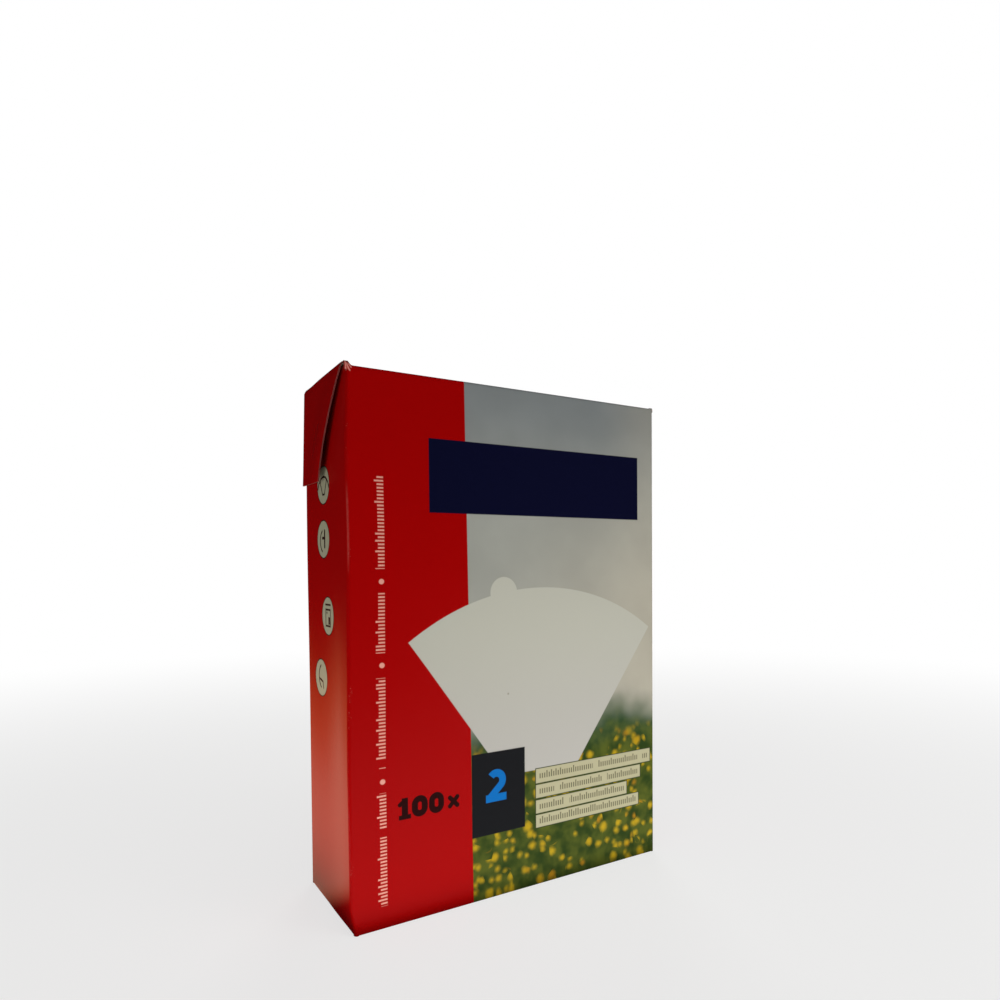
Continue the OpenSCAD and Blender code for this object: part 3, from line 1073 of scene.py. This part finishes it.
@material
def cut_board(net, shader):
    """The raw cut edge of the board, with the red of the print worn into its fibres and darkened further as
    painted shade.
    """
    fibres = net.noise(object_place(net), *CUT_NOISE)
    color = shaded(net, fibres, BOARD_CORE_INK_AND_SHADE, *CUT_SHADES)
    net.feed(shader, {"Base Color": color, "Roughness": CUT_ROUGHNESS})


@material
def crepe_paper(net, shader):
    """Bleached crepe paper with fine cross wrinkles."""
    place = object_place(net)
    wrinkles = net.noise(net.vector("MULTIPLY", place, CREPE_STRETCH), *CREPE_NOISE)
    color = shaded(net, net.noise(place, *CREPE_CLOUDS), FILTER_WHITE, *CREPE_SHADES)
    inputs = {"Base Color": color, "Roughness": CREPE_ROUGHNESS, "Sheen Weight": CREPE_SHEEN}
    net.feed(shader, inputs)
    add_relief(net, shader, wrinkles, *CREPE_RELIEF)


def build_carton():
    """The part of the board that stands still: tube, lap, corners and glued bottom."""
    front_half = FRONT_END + FOLD_R - FLAP_RELIEF
    side_half = HALF_D - FLAP_RELIEF
    left_middle = (LEFT_START + LEFT_END) / 2
    right_middle = RIGHT_START + HALF_D - FOLD_R
    back_middle = (BACK_START + BACK_END - BOARD_T) / 2
    dust_reach = HALF_W - DUST_FLAP_GAP / 2
    lap = [
        (LAP_START, FLAP_ROOT_Z),
        (LAP_START, TUBE_TOP),
        (LAP_END, TUBE_TOP - LAP_SLANT),
        (LAP_END, FLAP_ROOT_Z + LAP_SLANT),
    ]
    raised_corner = [
        (LEFT_START - UPPER_CORNER_W, TUBE_TOP),
        (LEFT_START, TUBE_TOP),
        (LEFT_START, UPPER_CORNER_Z),
        (LEFT_START - UPPER_CORNER_W / 2, UPPER_CORNER_Z),
    ]
    sheets = [
        Sheet(box_outline(LAP_START, RIGHT_END, FLAP_ROOT_Z, TUBE_TOP), stand, carton_surface),
        Sheet(lap, stand, PLAIN_SURFACE),
    ]
    cuts_u = spaced(LAP_START, BACK_END) + fold_cuts(BACK_END, -1) + spaced(BACK_END, BACK_START)
    cuts_u += fold_cuts(LEFT_END, -1) + spaced(LEFT_END, LEFT_START) + fold_cuts(LEFT_START)
    cuts_u += spaced(-FRONT_END, FRONT_END) + fold_cuts(FRONT_END) + spaced(RIGHT_START, RIGHT_END)
    cuts_u += [LEFT_START - UPPER_CORNER_W, RIGHT_START + PICTURE_WRAP]
    cuts_v = spaced(FLAP_ROOT_Z, TUBE_TOP)
    for middle, half, level, reach, surface in (
        (0, front_half, BOARD_T, 2 * HALF_D - INNER_FLAP_SET_BACK, carton_surface),
        (back_middle, front_half, 0, 2 * HALF_D - OUTER_FLAP_SET_BACK, PLAIN_SURFACE),
        (left_middle, side_half, 2 * BOARD_T, dust_reach, PLAIN_SURFACE),
        (right_middle, side_half, 2 * BOARD_T, dust_reach, PLAIN_SURFACE),
    ):
        sheets.append(Sheet(flap_outline(middle, half, level, reach), tube_place(level), surface))
        cuts_u += [middle - half, middle + half]
        cuts_v += fold_cuts(level + FOLD_R, -1)
    for corner in (FRONT_END + FOLD_ARC / 2, LEFT_START + FOLD_ARC / 2, LEFT_END - FOLD_ARC / 2):
        low, high = corner - CORNER_HALF_ARC, corner + CORNER_HALF_ARC
        sheets.append(Sheet(box_outline(low, high, CORNER_LOW_Z, FLAP_ROOT_Z), stand, carton_surface))
        cuts_u += [low, high]
    sheets.append(Sheet(raised_corner, stand, carton_surface))
    prints = [front_print, side_print, plain_print]
    piece = board_piece("carton_board", sheets, cuts_u, cuts_v, prints)
    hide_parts("carton")
    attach(piece, "carton")


# The lid as it really sits: its ears stand off the side panels, it is raised a little at the rear,
# its front corners stand up, the left one most, and its rear fold is crisp
LID_CRISP = 0.5
EAR_CURL = 1.15
EAR_BOW = 0.85
EAR_BOW_POWER = 0.7
EAR_CURL_REACH = 23.0
EAR_FLARE = (-0.55, 0.35)
EAR_SAG = 1.1
EAR_SAG_REACH = 10.0
REAR_LIFT = 1.5
TIP_LIFT = {-1: 1.2, 1: 0.3}
TIP_REACH_X = 2.9
TIP_FALL = 1.0
TIP_REACH_Y = 40.0

# Cuts of the lid and of the bending strip: their pitch in the ears and in the strip, how far they lie
# inside the ends of the flat part at a raised corner, and how far the strip runs past those ends
EAR_PITCH = 3.0
TIP_CUTS = (1.0, 1.5, 2.0)
CREASE_PITCH = 3.0
CREASE_PAST_LEFT = 1.5
CREASE_PAST_RIGHT = 0.7


def tip_lift(x, y):
    """How far a front corner of the lid stands up at a point."""
    lift = TIP_LIFT[-1 if x < 0 else 1]
    across = smooth((TIP_REACH_X - LID_HALF_W + abs(x)) / TIP_FALL)
    return lift * across * ramp(1 - (y + HALF_D) / TIP_REACH_Y)


def lid_lift(x, y, z):
    """How far a point of the lid stands higher than on a lid that is pressed shut."""
    hanging = smooth((z - LID_FOOT_Z) / (HEIGHT - LID_FOOT_Z))
    rear = REAR_LIFT * ramp((y - HINGE_Y) / (APRON_OUT_Y - HINGE_Y))
    return tip_lift(x, y) + rear * hanging


def ear_curl(y, z):
    """How far an ear stands off the side panel at a point."""
    share = (HEIGHT - z) / (HEIGHT - LID_FOOT_Z)
    front = HINGE_Y + CREASE_GAP + EAR_RELIEF
    edge = front + (APRON_OUT_Y - EAR_SET_BACK - EAR_FOOT_W - front) * share
    bow = EAR_BOW * max(math.sin(math.pi * share), 0.0) ** EAR_BOW_POWER
    curl = (EAR_CURL * share + bow) * smooth(1 - (y - edge) / EAR_CURL_REACH)
    rear = smooth(1 - (APRON_OUT_Y - y) / EAR_CURL_REACH)
    return curl + rear * (EAR_FLARE[0] + (EAR_FLARE[1] - EAR_FLARE[0]) * share)


def lid_top(u, v):
    """Folding of the lid's top panel and of the apron behind it."""
    run, turned = round_fold(v - (APRON_OUT_Y - FOLD_R - HINGE_Y), LID_CRISP)
    y = APRON_OUT_Y - FOLD_R + run
    z = HEIGHT - turned
    return Vector((u, y, z + lid_lift(u, y, z)))


def lid_ear(u, v):
    """Folding of an ear from the side of the top panel."""
    run, turned = round_fold(abs(u) - (LID_HALF_W - FOLD_R))
    y = HINGE_Y + v
    z = HEIGHT - turned
    x = LID_HALF_W - FOLD_R + run + ear_curl(y, z)
    sag = EAR_SAG * smooth(1 - (z - LID_FOOT_Z) / EAR_SAG_REACH) * smooth((APRON_OUT_Y - y) / EAR_FOOT_W)
    return Vector((math.copysign(x, u), y, z + lid_lift(u, y, z) - sag))


def lid_tab(u, v):
    """Folding of a glue tab from the side of the apron."""
    point = lid_top(0, v)
    run, turned = round_fold(abs(u) - (APRON_HALF_W - FOLD_R))
    return Vector((math.copysign(APRON_HALF_W - FOLD_R + run, u), point.y - turned, point.z))


def build_lid():
    """The part of the board that opens: top panel, apron, ears and glue tabs."""
    fold_v = APRON_OUT_Y - FOLD_R - HINGE_Y
    drop = HEIGHT - FOLD_R - LID_FOOT_Z
    apron_end = fold_v + FOLD_ARC + drop
    flat_half = LID_HALF_W - FOLD_R
    apron_half = APRON_HALF_W - FOLD_R
    ear_end = flat_half + FOLD_ARC + drop
    ear_front = CREASE_GAP + EAR_RELIEF
    ear_rear = APRON_OUT_Y - EAR_SET_BACK - HINGE_Y
    tab_top = fold_v + FOLD_ARC + GLUE_TAB_RELIEF
    tab_low = apron_end - GLUE_TAB_RELIEF
    tab_end = apron_half + FOLD_ARC + GLUE_TAB_W
    sheets = [
        Sheet(box_outline(-flat_half, flat_half, CREASE_GAP, fold_v), lid_top),
        Sheet(box_outline(-apron_half, apron_half, fold_v, apron_end), lid_top),
    ]
    for side in (1, -1):
        ear = [
            (side * flat_half, ear_front),
            (side * (flat_half + FOLD_ARC), ear_front),
            (side * ear_end, ear_rear - EAR_FOOT_W),
            (side * ear_end, ear_rear),
            (side * (flat_half + FOLD_ARC), ear_rear),
            (side * (flat_half + FOLD_ARC), fold_v),
            (side * flat_half, fold_v),
        ]
        tab = [
            (side * apron_half, tab_top),
            (side * (apron_half + FOLD_ARC), tab_top),
            (side * tab_end, tab_top + GLUE_TAB_SLANT),
            (side * tab_end, tab_low - GLUE_TAB_SLANT),
            (side * (apron_half + FOLD_ARC), tab_low),
            (side * apron_half, tab_low),
        ]
        sheets.append(Sheet(ear[::side], lid_ear))
        sheets.append(Sheet(tab[::side], lid_tab))
    cuts_u = spaced(-flat_half, flat_half) + [-apron_half, apron_half]
    for sign in (1, -1):
        cuts_u += [sign * (flat_half - gap) for gap in TIP_CUTS]
        cuts_u += fold_cuts(sign * flat_half, sign) + fold_cuts(sign * apron_half, sign)
        cuts_u += spaced(sign * (flat_half + FOLD_ARC), sign * ear_end, EAR_PITCH)
    cuts_v = spaced(ear_front, fold_v, EAR_PITCH) + fold_cuts(fold_v)
    cuts_v += spaced(fold_v + FOLD_ARC, apron_end) + [tab_top, tab_low]
    piece = board_piece("lid_board", sheets, cuts_u, cuts_v, [plain_print])
    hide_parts("lid")
    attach(piece, "lid")


def crease_place(u, v):
    """Folding of the front's upper fold, up to the crease where the lid begins."""
    run, turned = round_fold(v - (HEIGHT - FOLD_R))
    y = -HALF_D + turned
    z = HEIGHT - FOLD_R + run
    return Vector((u, y, z + tip_lift(u, y) * smooth((z - TUBE_TOP) / CREASE_STRIP_H)))


def build_crease():
    """The strip of board that bends when the lid opens."""
    top = HEIGHT - FOLD_R + FOLD_ARC + CREASE_GAP
    left, right = -FRONT_END - CREASE_PAST_LEFT, FRONT_END + CREASE_PAST_RIGHT
    sheets = [Sheet(box_outline(left, right, TUBE_TOP, top), crease_place)]
    cuts_u = spaced(left, right, CREASE_PITCH)
    for gap in TIP_CUTS:
        cuts_u += [gap - FRONT_END, FRONT_END - gap]
    piece = board_piece("lid_crease", sheets, cuts_u, fold_cuts(HEIGHT - FOLD_R), [front_print])
    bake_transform(piece)


# The filters: number, pitch and shape, in millimetres, then how far each may be shifted and turned.
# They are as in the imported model, but for a gap at the mouth that is 0.01 mm wider.
FILTER_COUNT = 100
FILTER_PITCH = 0.41
PLY_T = 0.16
MOUTH_GAP = 0.05
MOUTH_R = 135.0
FOOT_R = 34.2
FILTER_HALF_ANGLE = math.radians(36)
TAB_R = 8.3
TAB_INSET = 0.6
TAB_ANGLE = math.radians(10.5)
ARC_STEPS = 12
TAB_STEPS = 6
FILTER_SHIFT = 0.9
FILTER_TURN = math.radians(0.25)
SEED = 7


def polar(angle, radius):
    """A point at an angle and a distance from the filter's apex."""
    return Vector((math.cos(angle), math.sin(angle))) * radius


def filter_outline():
    """Points round one filter, from the foot's lower corner along the mouth and its tab to the upper one."""
    foot_corner = FOOT_R / math.cos(FILTER_HALF_ANGLE)
    tab = polar(TAB_ANGLE, MOUTH_R - TAB_INSET)
    tab_half = math.asin(TAB_R / MOUTH_R)
    below = parted(-FILTER_HALF_ANGLE, TAB_ANGLE - tab_half, ARC_STEPS)[:-1]
    round_tab = parted(TAB_ANGLE - QUARTER, TAB_ANGLE + QUARTER, TAB_STEPS)
    above = parted(TAB_ANGLE + tab_half, FILTER_HALF_ANGLE, ARC_STEPS // 2)[1:]
    return [
        polar(-FILTER_HALF_ANGLE, foot_corner),
        *(polar(angle, MOUTH_R) for angle in below),
        *(tab + polar(angle, TAB_R) for angle in round_tab),
        *(polar(angle, MOUTH_R) for angle in above),
        polar(FILTER_HALF_ANGLE, foot_corner),
    ]


def add_filter(bm, points, place):
    """One filter: two plies that meet at the seams and stand apart at the mouth."""
    for side in (-1, 1):
        outer, inner = [], []
        for number, point in enumerate(points):
            is_open = 1 < number < len(points) - 2
            gap = MOUTH_GAP if is_open else 0.0
            inner.append(bm.verts.new(place @ Vector((point.x, side * gap / 2, point.y))))
            outer.append(bm.verts.new(place @ Vector((point.x, side * (gap / 2 + PLY_T), point.y))))
        loops = (outer, inner[::-1]) if side < 0 else (outer[::-1], inner)
        for loop in loops:
            bm.faces.new(loop)
        for i, j in zip(range(len(points)), [*range(1, len(points)), 0]):
            quad = (outer[i], inner[i], inner[j], outer[j])
            bm.faces.new(quad if side < 0 else quad[::-1])


def build_filters():
    """The stack of a hundred filters, each a little out of line with the next."""
    rng = random.Random(SEED)
    points = filter_outline()
    apex_x = filters_low.x - FOOT_R
    middle_z = (filters_low.z + filters_high.z) / 2
    first_y = filters_low.y + FILTER_PITCH / 2
    bm = bmesh.new()
    for number in range(FILTER_COUNT):
        turn = Matrix.Rotation(rng.uniform(-1, 1) * FILTER_TURN, 4, "Y")
        shift = Vector((rng.uniform(-1, 1) * FILTER_SHIFT, first_y + number * FILTER_PITCH, 0))
        place = Matrix.Translation(Vector((apex_x, 0, middle_z)) + shift) @ turn
        lowest = min((place @ Vector((point.x, 0, point.y))).z for point in points)
        place = Matrix.Translation((0, 0, filters_low.z - lowest)) @ place
        add_filter(bm, points, place)
    mesh = mesh_from(bm, "filter_stack")
    mesh.materials.append(crepe_paper)
    mesh.transform(Matrix.Scale(MM, 4))
    piece = add_object("filter_stack", mesh)
    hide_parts("filters")
    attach(piece, "carton")


# The photograph's camera: place in millimetres, angles in degrees, focal length and centre in pixels
CAMERA_PLACE = Vector((-124.26, -216.95, 109.22))
CAMERA_YAW = 30.702
CAMERA_PITCH = 1.341
CAMERA_ROLL = -0.440
FOCAL_PX = 691.1
CENTRE_Y_PX = 582.4
PHOTO_PX = 1000.0
SENSOR_MM = 36.0
CLIP_START = 0.01


def build_camera():
    """A camera that sees the carton from the photograph's place."""
    yaw, pitch, roll = (math.radians(angle) for angle in (CAMERA_YAW, CAMERA_PITCH, CAMERA_ROLL))
    ahead = Vector((math.sin(yaw) * math.cos(pitch), math.cos(yaw) * math.cos(pitch), -math.sin(pitch)))
    right = ahead.cross(Vector((0, 0, 1))).normalized()
    up = right.cross(ahead)
    rolled_right = right * math.cos(roll) + up * math.sin(roll)
    rolled_up = up * math.cos(roll) - right * math.sin(roll)
    data = bpy.data.cameras.new("camera")
    data.sensor_width = SENSOR_MM
    data.lens = FOCAL_PX * SENSOR_MM / PHOTO_PX
    data.shift_y = (CENTRE_Y_PX - PHOTO_PX / 2) / PHOTO_PX
    data.clip_start = CLIP_START
    camera = add_object("camera", data)
    turn = Matrix((rolled_right, rolled_up, -ahead)).transposed().to_4x4()
    camera.matrix_world = Matrix.Translation(CAMERA_PLACE * MM) @ turn
    bpy.context.scene.camera = camera


# The floor, in metres: its half width and colour, and how far it is white for the camera between a near
# and a far distance from the carton
FLOOR_HALF = 2.5
FLOOR_PALE = (0.8, 0.79, 0.77)
FLOOR_WHITE_SHARE = 0.7
FLOOR_NEAR = 0.12
FLOOR_FAR = 0.75

# The soft light from all round, and what the varnish mirrors: a dark room, and a painted reflection for
# which the floor glows, for glossy rays only, pale near the left panel and brown farther out, with the
# places in metres between which these go over
AMBIENT = 0.09
DARK_ROOM = (0.004, 0.003, 0.003)
SHEEN_PALE = (0.97, 0.6, 0.4)
SHEEN_CLOSE = (0.84, 0.5, 0.35)
SHEEN_CLOSE_X = (-0.085, -0.062)
SHEEN_BROWN = (0.75, 0.2, 0.03)
SHEEN_FRONT_Y = (-0.003, 0.019)
SHEEN_LEFT_X = (-0.135, -0.09)
BROWN_LEFT_X = (-0.24, -0.14)
WHITE = (1.0, 1.0, 1.0)

# Name, place, size in metres and power in watts of the lamps, which aim at a point, and of the cards,
# which lie just above the floor and throw light up
LAMP_AIM = Vector((0, 0, 0.08))
LAMPS = (
    ("right", (0.6, -0.7, 0.3), 0.4, 1.4),
    ("left", (-0.5, -0.24, 0.05), 0.2, 0.55),
    ("top", (0.0, -0.3, 1.0), 0.6, 2.4),
    ("low_right", (0.16, -0.3, 0.02), 0.1, 0.28),
    ("rear", (0.45, 0.7, 0.4), 0.4, 2.5),
)
CARDS = (
    ("front_card", (0.02, -0.1265, 0.0008), 0.2, 0.22),
    ("left_card", (-0.15, 0.0, 0.002), 0.13, 0.18),
)


@material
def pale_floor(net, shader):
    """Pale floor that fades to white for the camera; for glossy rays it glows as a painted reflection, only
    behind the carton.
    """
    place = net.node("ShaderNodeTexCoord")["Object"]
    x, y, _ = net.split(place)
    path = net.node("ShaderNodeLightPath")
    net.feed(shader, {"Base Color": FLOOR_PALE, "Roughness": 1.0, "Specular IOR Level": 0.0})
    white = net.node("ShaderNodeEmission", {"Color": WHITE})[0]
    # Painted reflection: for glossy rays the floor glows pale near the left panel and brown farther out, and
    # is dark in front
    behind = net.rise(y, *SHEEN_FRONT_Y)
    mirrored = net.blend(net.times(behind, net.rise(x, *BROWN_LEFT_X)), DARK_ROOM, SHEEN_BROWN)
    pale = net.blend(net.rise(x, *SHEEN_CLOSE_X), SHEEN_PALE, SHEEN_CLOSE)
    mirrored = net.blend(net.times(behind, net.rise(x, *SHEEN_LEFT_X)), mirrored, pale)
    painted_reflection = net.node("ShaderNodeEmission", {"Color": mirrored})[0]
    away = net.rise(net.vector("LENGTH", place), FLOOR_NEAR, FLOOR_FAR, FLOOR_WHITE_SHARE, 1.0)
    seen = net.times(path["Is Camera Ray"], away)
    surface = net.node("ShaderNodeMixShader", (seen, shader.outputs[0], white))[0]
    surface = net.node("ShaderNodeMixShader", (path["Is Glossy Ray"], surface, painted_reflection))[0]
    net.feed(net.tree.nodes["Material Output"], {"Surface": surface})


pale_floor.cycles.emission_sampling = "NONE"


def build_world():
    """White behind the carton, soft light on it, and a dark room in its varnish."""
    world = bpy.data.worlds.new("surroundings")
    bpy.context.scene.world = world
    world.use_nodes = True
    net = Net(world.node_tree)
    path = net.node("ShaderNodeLightPath")
    seen = path["Is Camera Ray"]
    level = net.math("MULTIPLY_ADD", net.minus(1.0, seen), AMBIENT, seen)
    color = net.blend(path["Is Glossy Ray"], WHITE, shade(DARK_ROOM, 1 / AMBIENT))
    net.feed(net.tree.nodes["Background"], {"Color": color, "Strength": level})
    world.cycles.sampling_method = "NONE"


def add_lamp(name, place, size, power):
    """A soft square lamp that neither the camera nor the varnish sees."""
    data = bpy.data.lights.new(name, "AREA")
    data.size = size
    data.energy = power
    lamp = add_object(name, data)
    lamp.location = place
    lamp.visible_glossy = False
    lamp.visible_camera = False
    return lamp


def build_studio():
    """Pale floor, soft lamps and a plain surrounding."""
    bm = bmesh.new()
    bmesh.ops.create_grid(bm, x_segments=1, y_segments=1, size=FLOOR_HALF)
    floor = add_object("floor", mesh_from(bm, "floor"))
    floor.data.materials.append(pale_floor)
    build_world()
    for name, place, size, power in LAMPS:
        lamp = add_lamp(name, place, size, power)
        lamp.rotation_euler = (LAMP_AIM - lamp.location).to_track_quat("-Z", "Y").to_euler()
    for name, place, size, power in CARDS:
        card = add_lamp(name, place, size, power)
        card.rotation_euler = (math.pi, 0, 0)


build_camera()
build_studio()
build_carton()
build_lid()
build_crease()
build_filters()
bpy.context.scene.view_settings.view_transform = "Standard"
